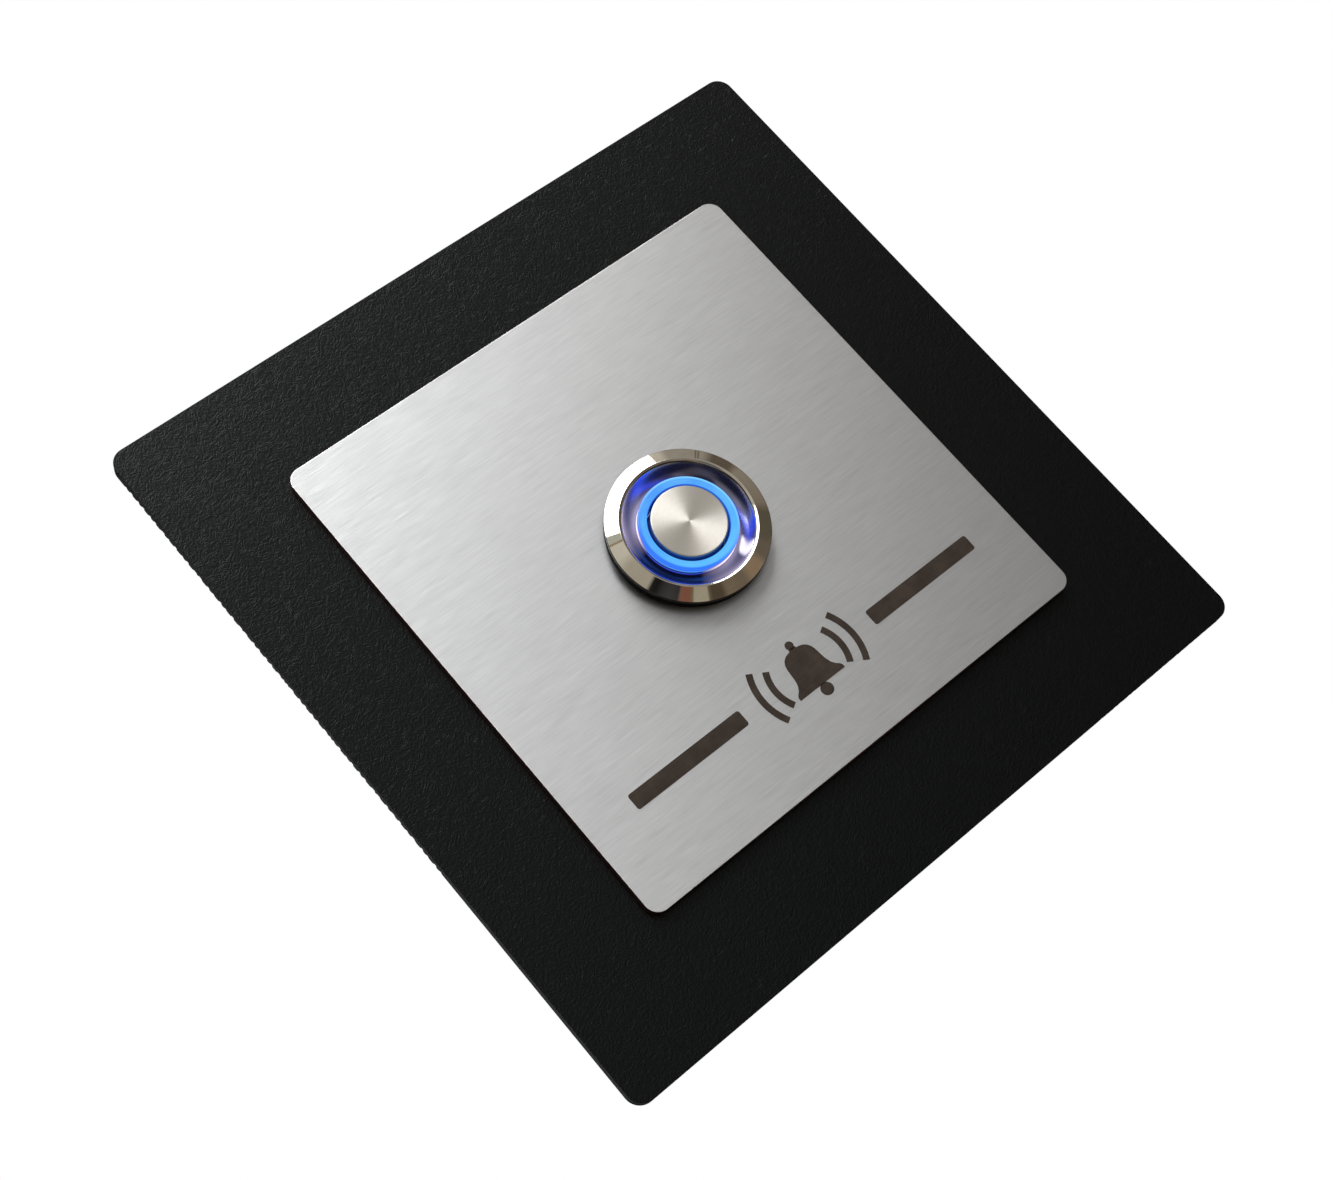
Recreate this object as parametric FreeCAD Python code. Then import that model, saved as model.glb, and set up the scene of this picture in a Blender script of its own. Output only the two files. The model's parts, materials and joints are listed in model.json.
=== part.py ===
import FreeCAD, Part
import math
import os

# Illuminated doorbell push button on a square wall plate.
#
# Millimetres. X runs to the right, Z runs up and -Y points away from the wall, at the visitor.
# The origin is the middle of the wall face, on the back of the foam tape. A depth is a place
# along Y: less than zero is in front of the wall, more than zero is inside the wall box.
# The switch is turned about the Y axis.

# Wall plate stack, from the wall outwards
TAPE_THICKNESS = 1.0
TAPE_WIDTH = 9.0
TAPE_INSET = 2.0
BASE_SIDE = 86.0
BASE_THICKNESS = 1.5
BASE_CORNER_RADIUS = 1.8
ADHESIVE_THICKNESS = 0.15
ADHESIVE_INSET = 0.6
ADHESIVE_HOLE_MARGIN = 0.5
FACE_SIDE = 60.0
FACE_THICKNESS = 1.0
FACE_CORNER_RADIUS = 1.6
FACE_EDGE_BREAK = 0.08
PANEL_HOLE_CLEARANCE = 0.1

# Switch body: one turned piece with a bevelled head, a bowl and a threaded barrel
THREAD_RADIUS = 8.0
BARREL_LENGTH = 16.0
BARREL_WALL = 1.0
BARREL_END_CHAMFER = 0.5
HEAD_OVERHANG = 1.0
HEAD_EDGE_HEIGHT = 0.4
HEAD_BEVEL_WIDTH = 1.5
HEAD_BEVEL_HEIGHT = 0.75
HEAD_LIP_WIDTH = 0.3
HEAD_LIP_DROP = 0.12
BOWL_DEPTH = 1.4
BOWL_FULLNESS = 0.6
WEB_THICKNESS = 1.35

# Seal under the head and nut behind the plate
GASKET_THICKNESS = 1.1
GASKET_INSET = 0.1
NUT_SIDES = 6
NUT_RIM = 1.5
NUT_THICKNESS = 2.5
NUT_CORNER_BREAK = 0.4

# The round pieces inside the barrel keep these shares of its bore's radius
LIGHT_SHARE = 0.78
PLUNGER_SHARE = 0.285
SEAL_SHARE = 0.43
GUIDE_SHARE = 0.54
CLIP_SHARE = 0.51
CONTACT_SHARE = 0.56
TERMINAL_SHARE = 0.66

# Light ring, which stands in the bowl round the cap
LIGHT_WALL = 1.0
LIGHT_TOP_DEPTH = 0.23
LIGHT_EDGE_BREAK = 0.12
LIGHT_FLANGE_THICKNESS = 0.8
LIGHT_SKIRT_HEIGHT = 0.7
LIGHT_SKIRT_WIDTH = 0.6

# Lamp board
BOARD_THICKNESS = 0.8
LAMP_COUNT = 4
LAMP_LENGTH = 1.6
LAMP_WIDTH = 0.8
LAMP_CASE_HEIGHT = 0.35
LAMP_LENS_HEIGHT = 0.2
LAMP_LENS_LENGTH = 1.1
LAMP_LENS_WIDTH = 0.6
RESISTOR_LENGTH = 1.6
RESISTOR_WIDTH = 0.8
RESISTOR_HEIGHT = 0.45

# Cap and plunger, which move together
TRAVEL = 1.5
TRAVEL_RESERVE = 0.02
CAP_GAP = 0.3
CAP_STAND = 0.15
CAP_HEIGHT = 2.6
CAP_WALL = 0.65
CAP_ROOF = 1.0
CAP_EDGE_BREAK = 0.12
CAP_BOSS_WALL = 0.4
PLUNGER_SHOULDER = 0.52
PLUNGER_SPIGOT_LENGTH = 3.0
STAKE_RADIUS = 1.0
STAKE_HEAD_RADIUS = 1.5
STAKE_HEAD_HEIGHT = 0.3

# Guide sleeve, its seal and the clip that stops the plunger
GUIDE_FLANGE_THICKNESS = 1.2
GUIDE_LENGTH_SHARE = 0.7
RUNNING_CLEARANCE = 0.05
SEAL_DEPTH = 1.0
CLIP_THICKNESS = 0.5
CLIP_BAND = 0.9
CLIP_GROOVE_DEPTH = 0.4
CLIP_LUG_WIDTH = 1.2
CLIP_LUG_SETBACK = 15.0
CLIP_MOUTH_ANGLE = 80.0

# Return spring
SPRING_WIRE_RADIUS = 0.2
SPRING_WIRE_SIDES = 6
SPRING_END_TURNS = 0.5
SPRING_ACTIVE_TURNS = 2
SPRING_END_PITCH = 0.46

# Contacts
BRIDGE_END_MARGIN = 1.0
BRIDGE_WIDTH = 2.6
BRIDGE_THICKNESS = 0.25
CONTACT_RADIUS = 0.7
CONTACT_HEIGHT = 0.4
CONTACT_AIR_GAP = 0.03
CONTACT_PLATE_LENGTH = 2.6
CONTACT_PLATE_WIDTH = 2.4

# Contact housing and the terminals that pass through it
HOUSING_WALL = 1.0
HOUSING_FLOOR = 2.25
HOUSING_FLOOR_INSET = 0.55
HOUSING_BLOCK_INSET = 0.4
HOUSING_BLOCK_LENGTH = 2.5
HOUSING_FLAT_DEPTH = 0.6
POTTING_WALL = 0.5
POTTING_RECESS = 0.8
TERMINAL_THICKNESS = 0.5
TERMINAL_WIDTH = 2.0
TERMINAL_CORNER_BREAK = 0.5
CONTACT_TERMINAL_REACH = 5.2
LAMP_TERMINAL_REACH = 3.8
LAMP_TERMINAL_STUB = 0.5
TERMINAL_EYE_RADIUS = 0.45
TERMINAL_EYE_MARGIN = 1.1
LEAD_RADIUS = 0.35
LEAD_CLEARANCE = 0.15
SEAT_CLEARANCE = 0.02

# Longest reach of an edge that counts as flat
FLAT_TOLERANCE = 1e-4

# Places along the depth, each from the piece that it seats on
WALL_FACE = 0.0
BASE_BACK = WALL_FACE - TAPE_THICKNESS
BASE_FRONT = BASE_BACK - BASE_THICKNESS
FACE_BACK = BASE_FRONT - ADHESIVE_THICKNESS
FACE_FRONT = FACE_BACK - FACE_THICKNESS
HEAD_SEAT = FACE_FRONT - GASKET_THICKNESS
HEAD_EDGE = HEAD_SEAT - HEAD_EDGE_HEIGHT
HEAD_RIM = HEAD_EDGE - HEAD_BEVEL_HEIGHT
BARREL_END = HEAD_SEAT + BARREL_LENGTH
BOWL_FLOOR = HEAD_RIM + BOWL_DEPTH
WEB_BACK = BOWL_FLOOR + WEB_THICKNESS
LIGHT_TOP = HEAD_RIM + LIGHT_TOP_DEPTH
LIGHT_FLANGE_BACK = WEB_BACK + LIGHT_FLANGE_THICKNESS
BOARD_FRONT = LIGHT_FLANGE_BACK + LIGHT_SKIRT_HEIGHT
BOARD_BACK = BOARD_FRONT + BOARD_THICKNESS
GUIDE_BACK = BOARD_BACK + GUIDE_FLANGE_THICKNESS
CAP_TOP = HEAD_RIM - CAP_STAND
CAP_ROOF_BACK = CAP_TOP + CAP_ROOF
CAP_BACK = CAP_TOP + CAP_HEIGHT
BOSS_BACK = BOARD_BACK - TRAVEL - TRAVEL_RESERVE
HOUSING_END = BARREL_END + HOUSING_BLOCK_LENGTH
POTTING_BACK = HOUSING_END - POTTING_RECESS
HOUSING_FLOOR_BACK = BARREL_END - HOUSING_FLOOR_INSET
HOUSING_FLOOR_FRONT = HOUSING_FLOOR_BACK - HOUSING_FLOOR
CONTACT_PLATE_FRONT = HOUSING_FLOOR_FRONT - TERMINAL_THICKNESS
FIXED_CONTACT_FACE = CONTACT_PLATE_FRONT - CONTACT_HEIGHT
MOVING_CONTACT_FACE = FIXED_CONTACT_FACE - TRAVEL - CONTACT_AIR_GAP
BRIDGE_BACK = MOVING_CONTACT_FACE - CONTACT_HEIGHT
BRIDGE_FRONT = BRIDGE_BACK - BRIDGE_THICKNESS

# The guide sleeve and the plunger's tail share the length between the board and the bridge
FREE_LENGTH = BRIDGE_FRONT - BOARD_BACK - SEAT_CLEARANCE - CLIP_THICKNESS
GUIDE_TUBE_END = BOARD_BACK + FREE_LENGTH * GUIDE_LENGTH_SHARE
CLIP_FRONT = GUIDE_TUBE_END + SEAT_CLEARANCE
CLIP_BACK = CLIP_FRONT + CLIP_THICKNESS

# Radii that follow from their neighbours
HEAD_RADIUS = THREAD_RADIUS + HEAD_OVERHANG
PANEL_HOLE_RADIUS = THREAD_RADIUS + PANEL_HOLE_CLEARANCE
NUT_ACROSS_FLATS = 2 * (THREAD_RADIUS + NUT_RIM)
BARREL_BORE_RADIUS = THREAD_RADIUS - BARREL_WALL
INSERT_RADIUS = BARREL_BORE_RADIUS - SEAT_CLEARANCE
LIGHT_RADIUS = BARREL_BORE_RADIUS * LIGHT_SHARE
LIGHT_BORE_RADIUS = LIGHT_RADIUS - LIGHT_WALL
LAMP_RADIUS = (LIGHT_BORE_RADIUS + LIGHT_RADIUS) / 2
CAP_RADIUS = LIGHT_BORE_RADIUS - CAP_GAP
CAP_BORE_RADIUS = CAP_RADIUS - CAP_WALL
PLUNGER_RADIUS = BARREL_BORE_RADIUS * PLUNGER_SHARE
PLUNGER_SPIGOT_RADIUS = PLUNGER_RADIUS - PLUNGER_SHOULDER
CAP_BOSS_RADIUS = PLUNGER_RADIUS + CAP_BOSS_WALL
SPRING_RADIUS = (CAP_BOSS_RADIUS + CAP_BORE_RADIUS) / 2
GUIDE_BORE_RADIUS = PLUNGER_RADIUS + RUNNING_CLEARANCE
GUIDE_RADIUS = BARREL_BORE_RADIUS * GUIDE_SHARE
SEAL_RADIUS = BARREL_BORE_RADIUS * SEAL_SHARE
CLIP_RADIUS = BARREL_BORE_RADIUS * CLIP_SHARE
CLIP_GROOVE_RADIUS = PLUNGER_RADIUS - CLIP_GROOVE_DEPTH
CONTACT_OFFSET = BARREL_BORE_RADIUS * CONTACT_SHARE
BRIDGE_LENGTH = 2 * (CONTACT_OFFSET + BRIDGE_END_MARGIN)
TERMINAL_OFFSET = BARREL_BORE_RADIUS * TERMINAL_SHARE
HOUSING_BORE_RADIUS = INSERT_RADIUS - HOUSING_WALL
HOUSING_BLOCK_RADIUS = THREAD_RADIUS - HOUSING_BLOCK_INSET
POTTING_RADIUS = INSERT_RADIUS - POTTING_WALL

AXIS_POINT = FreeCAD.Vector(0, 0, 0)
DEPTH_AXIS = FreeCAD.Vector(0, 1, 0)


def at(radius, depth):
    """A point of a turned outline."""
    return FreeCAD.Vector(radius, depth, 0)


def line(start, end):
    return Part.LineSegment(start, end).toShape()


def arc(start, middle, end):
    return Part.Arc(start, middle, end).toShape()


def turned(edges):
    """The solid that a closed outline of edges makes when it is turned about the depth axis."""
    outline = Part.Face(Part.Wire(edges))
    return outline.revolve(AXIS_POINT, DEPTH_AXIS, 360)


def turned_steps(corners):
    """A turned solid from the corners of its outline, as (radius, depth) pairs."""
    points = [at(radius, depth) for radius, depth in corners]
    return turned([line(a, b) for a, b in zip(points, points[1:] + points[:1])])


def disc(radius, front, back):
    return Part.makeCylinder(radius, back - front, FreeCAD.Vector(0, front, 0), DEPTH_AXIS)


def washer(inner, outer, front, back):
    return disc(outer, front, back).cut(disc(inner, front, back))


def peg(radius, x, z, front, back):
    """A round bar along the depth at one place of the plate."""
    return Part.makeCylinder(radius, back - front, FreeCAD.Vector(x, front, z), DEPTH_AXIS)


def block(width, height, front, back, x=0.0, z=0.0):
    """A box centred on one place of the plate, between two depths."""
    corner = FreeCAD.Vector(x - width / 2, front, z - height / 2)
    return Part.makeBox(width, back - front, height, corner)


def rounded_square(side, radius, front, back):
    """A square sheet between two depths with rounded corners."""
    sheet = block(side, side, front, back)
    corners = [edge for edge in sheet.Edges if edge.BoundBox.YLength > FLAT_TOLERANCE]
    return sheet.makeFillet(radius, corners)


def edges_at_depth(shape, depth):
    """The edges that lie flat at one depth."""
    flat = [edge for edge in shape.Edges if edge.BoundBox.YLength < FLAT_TOLERANCE]
    return [edge for edge in flat if abs(edge.BoundBox.YMin - depth) < FLAT_TOLERANCE]


def turned_about_depth(shape, degrees):
    copy = shape.copy()
    copy.rotate(AXIS_POINT, DEPTH_AXIS, degrees)
    return copy


def wall_tape():
    """The die-cut square ring of foam tape that holds the plate on the wall."""
    outer = BASE_SIDE - 2 * TAPE_INSET
    inner = outer - 2 * TAPE_WIDTH
    ring = rounded_square(outer, BASE_CORNER_RADIUS, BASE_BACK, WALL_FACE)
    return ring.cut(rounded_square(inner, BASE_CORNER_RADIUS, BASE_BACK, WALL_FACE))


def base_plate():
    """The black grained plastic plate."""
    plate = rounded_square(BASE_SIDE, BASE_CORNER_RADIUS, BASE_FRONT, BASE_BACK)
    return plate.cut(disc(PANEL_HOLE_RADIUS, BASE_FRONT, BASE_BACK))


def face_adhesive():
    """The thin double-sided sheet between the two plates."""
    side = FACE_SIDE - 2 * ADHESIVE_INSET
    sheet = rounded_square(side, FACE_CORNER_RADIUS, FACE_BACK, BASE_FRONT)
    return sheet.cut(disc(PANEL_HOLE_RADIUS + ADHESIVE_HOLE_MARGIN, FACE_BACK, BASE_FRONT))


def face_plate():
    """The brushed steel plate, with its front edge just broken."""
    plate = rounded_square(FACE_SIDE, FACE_CORNER_RADIUS, FACE_FRONT, FACE_BACK)
    plate = plate.makeChamfer(FACE_EDGE_BREAK, edges_at_depth(plate, FACE_FRONT))
    return plate.cut(disc(PANEL_HOLE_RADIUS, FACE_FRONT, FACE_BACK))


def switch_body():
    """The turned metal body: a bowl and a narrow lip inside a bevelled head, on a barrel."""
    rim_radius = HEAD_RADIUS - HEAD_BEVEL_WIDTH
    lip_radius = rim_radius - HEAD_LIP_WIDTH
    throat_radius = LIGHT_RADIUS + SEAT_CLEARANCE
    rim = at(rim_radius, HEAD_RIM)
    lip = at(lip_radius, HEAD_RIM + HEAD_LIP_DROP)
    bowl_middle = at(
        lip_radius + (throat_radius - lip_radius) * (1 - BOWL_FULLNESS),
        lip.y + (BOWL_FLOOR - lip.y) * BOWL_FULLNESS)
    throat = at(throat_radius, BOWL_FLOOR)
    corners = [
        rim,
        at(HEAD_RADIUS, HEAD_EDGE),
        at(HEAD_RADIUS, HEAD_SEAT),
        at(THREAD_RADIUS, HEAD_SEAT),
        at(THREAD_RADIUS, BARREL_END - BARREL_END_CHAMFER),
        at(THREAD_RADIUS - BARREL_END_CHAMFER, BARREL_END),
        at(BARREL_BORE_RADIUS, BARREL_END),
        at(BARREL_BORE_RADIUS, WEB_BACK),
        at(throat_radius, WEB_BACK),
        throat]
    edges = [line(a, b) for a, b in zip(corners, corners[1:])]
    edges.append(arc(throat, bowl_middle, lip))
    edges.append(line(lip, rim))
    return turned(edges)


def head_gasket():
    """The flat black rubber seal between the head and the plate."""
    return washer(PANEL_HOLE_RADIUS, HEAD_RADIUS - GASKET_INSET, HEAD_SEAT, FACE_FRONT)


def panel_nut():
    """The thin hexagon nut, with its corners turned off at both faces."""
    back = BASE_BACK + NUT_THICKNESS
    side_angle = 2 * math.pi / NUT_SIDES
    corner_radius = NUT_ACROSS_FLATS / (2 * math.cos(side_angle / 2))
    points = []
    for corner in range(NUT_SIDES + 1):
        x = corner_radius * math.cos(side_angle * corner)
        z = corner_radius * math.sin(side_angle * corner)
        points.append(FreeCAD.Vector(x, BASE_BACK, z))
    hexagon = Part.Face(Part.makePolygon(points)).extrude(DEPTH_AXIS * NUT_THICKNESS)
    face_radius = corner_radius - 2 * NUT_CORNER_BREAK
    turned_off = turned_steps([
        (0, BASE_BACK),
        (face_radius, BASE_BACK),
        (corner_radius, BASE_BACK + NUT_CORNER_BREAK),
        (corner_radius, back - NUT_CORNER_BREAK),
        (face_radius, back),
        (0, back)])
    nut = hexagon.common(turned_off)
    return nut.cut(disc(THREAD_RADIUS + SEAT_CLEARANCE, BASE_BACK, back))


def light_ring():
    """The translucent ring, pushed in from behind up to the web of the body."""
    skirt_bore = INSERT_RADIUS - LIGHT_SKIRT_WIDTH
    return turned_steps([
        (LIGHT_BORE_RADIUS, LIGHT_TOP),
        (LIGHT_RADIUS - LIGHT_EDGE_BREAK, LIGHT_TOP),
        (LIGHT_RADIUS, LIGHT_TOP + LIGHT_EDGE_BREAK),
        (LIGHT_RADIUS, WEB_BACK),
        (INSERT_RADIUS, WEB_BACK),
        (INSERT_RADIUS, BOARD_FRONT),
        (skirt_bore, BOARD_FRONT),
        (skirt_bore, LIGHT_FLANGE_BACK),
        (LIGHT_BORE_RADIUS, LIGHT_FLANGE_BACK)])


def led_board():
    return washer(LIGHT_BORE_RADIUS, INSERT_RADIUS, BOARD_FRONT, BOARD_BACK)


def led_chips():
    """The lamps, evenly round the board, each a case with a smaller lens on it."""
    case_front = BOARD_FRONT - LAMP_CASE_HEIGHT
    case = block(LAMP_WIDTH, LAMP_LENGTH, case_front, BOARD_FRONT, x=LAMP_RADIUS)
    lens_front = case_front - LAMP_LENS_HEIGHT
    lens = block(LAMP_LENS_WIDTH, LAMP_LENS_LENGTH, lens_front, case_front, x=LAMP_RADIUS)
    lamp = case.fuse(lens)
    step = 360 / LAMP_COUNT
    return Part.makeCompound([turned_about_depth(lamp, step * place) for place in range(LAMP_COUNT)])


def led_resistor():
    """The lamps' resistor, halfway between two lamps."""
    front = BOARD_FRONT - RESISTOR_HEIGHT
    chip = block(RESISTOR_WIDTH, RESISTOR_LENGTH, front, BOARD_FRONT, x=LAMP_RADIUS)
    return turned_about_depth(chip, 180 / LAMP_COUNT)


def button_cap():
    """The spun-finish metal cap: a shallow cup with a boss that holds the plunger."""
    socket_radius = PLUNGER_SPIGOT_RADIUS + SEAT_CLEARANCE
    socket_end = BOSS_BACK - PLUNGER_SPIGOT_LENGTH - SEAT_CLEARANCE
    return turned_steps([
        (0, CAP_TOP),
        (CAP_RADIUS - CAP_EDGE_BREAK, CAP_TOP),
        (CAP_RADIUS, CAP_TOP + CAP_EDGE_BREAK),
        (CAP_RADIUS, CAP_BACK),
        (CAP_BORE_RADIUS, CAP_BACK),
        (CAP_BORE_RADIUS, CAP_ROOF_BACK),
        (CAP_BOSS_RADIUS, CAP_ROOF_BACK),
        (CAP_BOSS_RADIUS, BOSS_BACK),
        (socket_radius, BOSS_BACK),
        (socket_radius, socket_end),
        (0, socket_end)])


def plunger():
    """The plastic plunger: a spigot in the cap, a groove for the clip and a staked tail."""
    return turned_steps([
        (0, BOSS_BACK - PLUNGER_SPIGOT_LENGTH),
        (PLUNGER_SPIGOT_RADIUS, BOSS_BACK - PLUNGER_SPIGOT_LENGTH),
        (PLUNGER_SPIGOT_RADIUS, BOSS_BACK),
        (PLUNGER_RADIUS, BOSS_BACK),
        (PLUNGER_RADIUS, CLIP_FRONT),
        (CLIP_GROOVE_RADIUS, CLIP_FRONT),
        (CLIP_GROOVE_RADIUS, CLIP_BACK),
        (PLUNGER_RADIUS, CLIP_BACK),
        (PLUNGER_RADIUS, BRIDGE_FRONT),
        (STAKE_RADIUS, BRIDGE_FRONT),
        (STAKE_RADIUS, BRIDGE_BACK),
        (STAKE_HEAD_RADIUS, BRIDGE_BACK),
        (STAKE_RADIUS, BRIDGE_BACK + STAKE_HEAD_HEIGHT),
        (0, BRIDGE_BACK + STAKE_HEAD_HEIGHT)])


def guide_sleeve():
    """The plastic bush that guides the plunger, with a notch for each of the two lamp leads."""
    bush = turned_steps([
        (GUIDE_BORE_RADIUS, BOARD_BACK),
        (INSERT_RADIUS, BOARD_BACK),
        (INSERT_RADIUS, GUIDE_BACK),
        (GUIDE_RADIUS, GUIDE_BACK),
        (GUIDE_RADIUS, GUIDE_TUBE_END),
        (SEAL_RADIUS, GUIDE_TUBE_END),
        (SEAL_RADIUS, GUIDE_TUBE_END - SEAL_DEPTH),
        (GUIDE_BORE_RADIUS, GUIDE_TUBE_END - SEAL_DEPTH)])
    width = 2 * (LEAD_RADIUS + LEAD_CLEARANCE)
    notch_floor = TERMINAL_OFFSET - width / 2
    notch_height = INSERT_RADIUS - notch_floor
    for side in (1, -1):
        middle = side * (notch_floor + notch_height / 2)
        bush = bush.cut(block(width, notch_height, BOARD_BACK, GUIDE_BACK, z=middle))
    return bush


def plunger_seal():
    """The square-cut rubber ring in the back of the guide sleeve, round the plunger."""
    outer = SEAL_RADIUS - SEAT_CLEARANCE
    front = GUIDE_TUBE_END - SEAL_DEPTH
    return washer(GUIDE_BORE_RADIUS, outer, front, GUIDE_TUBE_END)


def retaining_clip():
    """The E-shaped clip in the plunger's groove: an open band with three lugs that grip."""
    band_radius = CLIP_RADIUS - CLIP_BAND
    clip = washer(band_radius, CLIP_RADIUS, CLIP_FRONT, CLIP_BACK)
    grip = CLIP_GROOVE_RADIUS + SEAT_CLEARANCE
    lug_length = band_radius + CLIP_BAND / 2 - grip
    lug = block(CLIP_LUG_WIDTH, lug_length, CLIP_FRONT, CLIP_BACK, z=grip + lug_length / 2)
    mouth_side = 180 - CLIP_MOUTH_ANGLE / 2 - CLIP_LUG_SETBACK
    for turn in (0, mouth_side, -mouth_side):
        clip = clip.fuse(turned_about_depth(lug, turn))
    clip = clip.cut(disc(grip, CLIP_FRONT, CLIP_BACK))
    reach = 2 * CLIP_RADIUS
    half_mouth = math.radians(CLIP_MOUTH_ANGLE / 2)
    mouth = Part.Face(Part.makePolygon([
        FreeCAD.Vector(0, CLIP_FRONT, 0),
        FreeCAD.Vector(-reach * math.sin(half_mouth), CLIP_FRONT, -reach * math.cos(half_mouth)),
        FreeCAD.Vector(reach * math.sin(half_mouth), CLIP_FRONT, -reach * math.cos(half_mouth)),
        FreeCAD.Vector(0, CLIP_FRONT, 0)]))
    return clip.cut(mouth.extrude(DEPTH_AXIS * CLIP_THICKNESS))


def return_spring():
    """The coil spring between the cap and the guide, closed up over its last half turns."""
    length = BOARD_BACK - CAP_ROOF_BACK - 2 * SPRING_WIRE_RADIUS
    end_length = SPRING_END_TURNS * SPRING_END_PITCH
    active_length = length - 2 * end_length
    active_pitch = active_length / SPRING_ACTIVE_TURNS
    path = []
    start = 0.0
    turns = 0.0
    closed = (SPRING_END_PITCH, end_length)
    for pitch, rise in (closed, (active_pitch, active_length), closed):
        stretch = Part.makeHelix(pitch, rise, SPRING_RADIUS)
        stretch.rotate(AXIS_POINT, FreeCAD.Vector(0, 0, 1), 360 * turns)
        stretch.translate(FreeCAD.Vector(0, 0, start))
        path.extend(stretch.Edges)
        start += rise
        turns += rise / pitch
    corners = []
    for side in range(SPRING_WIRE_SIDES + 1):
        angle = math.pi * (2 * side + 1) / SPRING_WIRE_SIDES
        x = SPRING_RADIUS + SPRING_WIRE_RADIUS * math.cos(angle)
        corners.append(FreeCAD.Vector(x, 0, SPRING_WIRE_RADIUS * math.sin(angle)))
    spring = Part.Wire(path).makePipeShell([Part.makePolygon(corners)], True, True)
    spring.rotate(AXIS_POINT, FreeCAD.Vector(1, 0, 0), -90)
    spring.translate(FreeCAD.Vector(0, CAP_ROOF_BACK + SPRING_WIRE_RADIUS, 0))
    return spring


def contact_bridge():
    """The springy strip on the plunger's tail that closes the circuit."""
    half_width = BRIDGE_WIDTH / 2
    straight = BRIDGE_LENGTH - BRIDGE_WIDTH
    strip = block(straight, BRIDGE_WIDTH, BRIDGE_FRONT, BRIDGE_BACK)
    for side in (1, -1):
        strip = strip.fuse(peg(half_width, side * straight / 2, 0, BRIDGE_FRONT, BRIDGE_BACK))
    return strip.removeSplitter().cut(disc(STAKE_RADIUS + SEAT_CLEARANCE, BRIDGE_FRONT, BRIDGE_BACK))


def contact_button(side, root, face):
    """A low silver button, from its root on a strip to its face."""
    return peg(CONTACT_RADIUS, side * CONTACT_OFFSET, 0, min(root, face), max(root, face))


def moving_contacts():
    buttons = [contact_button(side, BRIDGE_BACK, MOVING_CONTACT_FACE) for side in (1, -1)]
    return Part.makeCompound(buttons)


def fixed_contacts():
    buttons = [contact_button(side, CONTACT_PLATE_FRONT, FIXED_CONTACT_FACE) for side in (1, -1)]
    return Part.makeCompound(buttons)


def terminal_slot(width, height, x=0.0, z=0.0):
    """The way of one terminal blade through the housing and the potting."""
    return block(width, height, HOUSING_FLOOR_FRONT, HOUSING_END, x=x, z=z)


def contact_housing():
    """The moulded cup that closes the barrel, carries the terminals and takes the potting."""
    cup = turned_steps([
        (HOUSING_BORE_RADIUS, GUIDE_BACK),
        (INSERT_RADIUS, GUIDE_BACK),
        (INSERT_RADIUS, BARREL_END),
        (HOUSING_BLOCK_RADIUS, BARREL_END),
        (HOUSING_BLOCK_RADIUS, HOUSING_END),
        (POTTING_RADIUS, HOUSING_END),
        (POTTING_RADIUS, HOUSING_FLOOR_BACK),
        (0, HOUSING_FLOOR_BACK),
        (0, HOUSING_FLOOR_FRONT),
        (HOUSING_BORE_RADIUS, HOUSING_FLOOR_FRONT)])
    for side in (1, -1):
        middle = side * TERMINAL_OFFSET
        cup = cup.cut(terminal_slot(TERMINAL_THICKNESS, TERMINAL_WIDTH, x=middle))
        cup = cup.cut(terminal_slot(TERMINAL_WIDTH, TERMINAL_THICKNESS, z=middle))
        flat = side * (HOUSING_BLOCK_RADIUS - HOUSING_FLAT_DEPTH / 2)
        height = 2 * HOUSING_BLOCK_RADIUS
        cup = cup.cut(block(HOUSING_FLAT_DEPTH, height, BARREL_END, HOUSING_END, x=flat))
    return cup


def rear_potting():
    """The poured resin that seals the terminals into the housing."""
    fill = disc(POTTING_RADIUS - SEAT_CLEARANCE, HOUSING_FLOOR_BACK, POTTING_BACK)
    for side in (1, -1):
        middle = side * TERMINAL_OFFSET
        fill = fill.cut(terminal_slot(TERMINAL_THICKNESS, TERMINAL_WIDTH, x=middle))
        fill = fill.cut(terminal_slot(TERMINAL_WIDTH, TERMINAL_THICKNESS, z=middle))
    return fill


def blade(front, reach):
    """A flat terminal blade on the right of the axis, with a wire eye near its rounded end."""
    back = HOUSING_END + reach
    flat = block(TERMINAL_THICKNESS, TERMINAL_WIDTH, front, back, x=TERMINAL_OFFSET)
    ends = [edge for edge in edges_at_depth(flat, back) if edge.BoundBox.XLength < 2 * TERMINAL_THICKNESS]
    ends = [edge for edge in ends if edge.BoundBox.ZLength < TERMINAL_THICKNESS]
    flat = flat.makeChamfer(TERMINAL_CORNER_BREAK, ends)
    eye_start = FreeCAD.Vector(TERMINAL_OFFSET - TERMINAL_THICKNESS, back - TERMINAL_EYE_MARGIN, 0)
    eye = Part.makeCylinder(TERMINAL_EYE_RADIUS, 2 * TERMINAL_THICKNESS, eye_start, FreeCAD.Vector(1, 0, 0))
    return flat.cut(eye)


def contact_terminal(side):
    """A contact plate on the housing's floor with its blade behind it, as one stamping."""
    plate = block(CONTACT_PLATE_LENGTH, CONTACT_PLATE_WIDTH, CONTACT_PLATE_FRONT, HOUSING_FLOOR_FRONT,
                  x=CONTACT_OFFSET)
    stamping = plate.fuse(blade(HOUSING_FLOOR_FRONT, CONTACT_TERMINAL_REACH)).removeSplitter()
    return turned_about_depth(stamping, 0 if side > 0 else 180)


def lamp_terminal(side):
    """A blade for the lamp circuit, above or below the axis."""
    stamping = blade(HOUSING_FLOOR_FRONT - LAMP_TERMINAL_STUB, LAMP_TERMINAL_REACH)
    return turned_about_depth(stamping, -90 * side)


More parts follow.
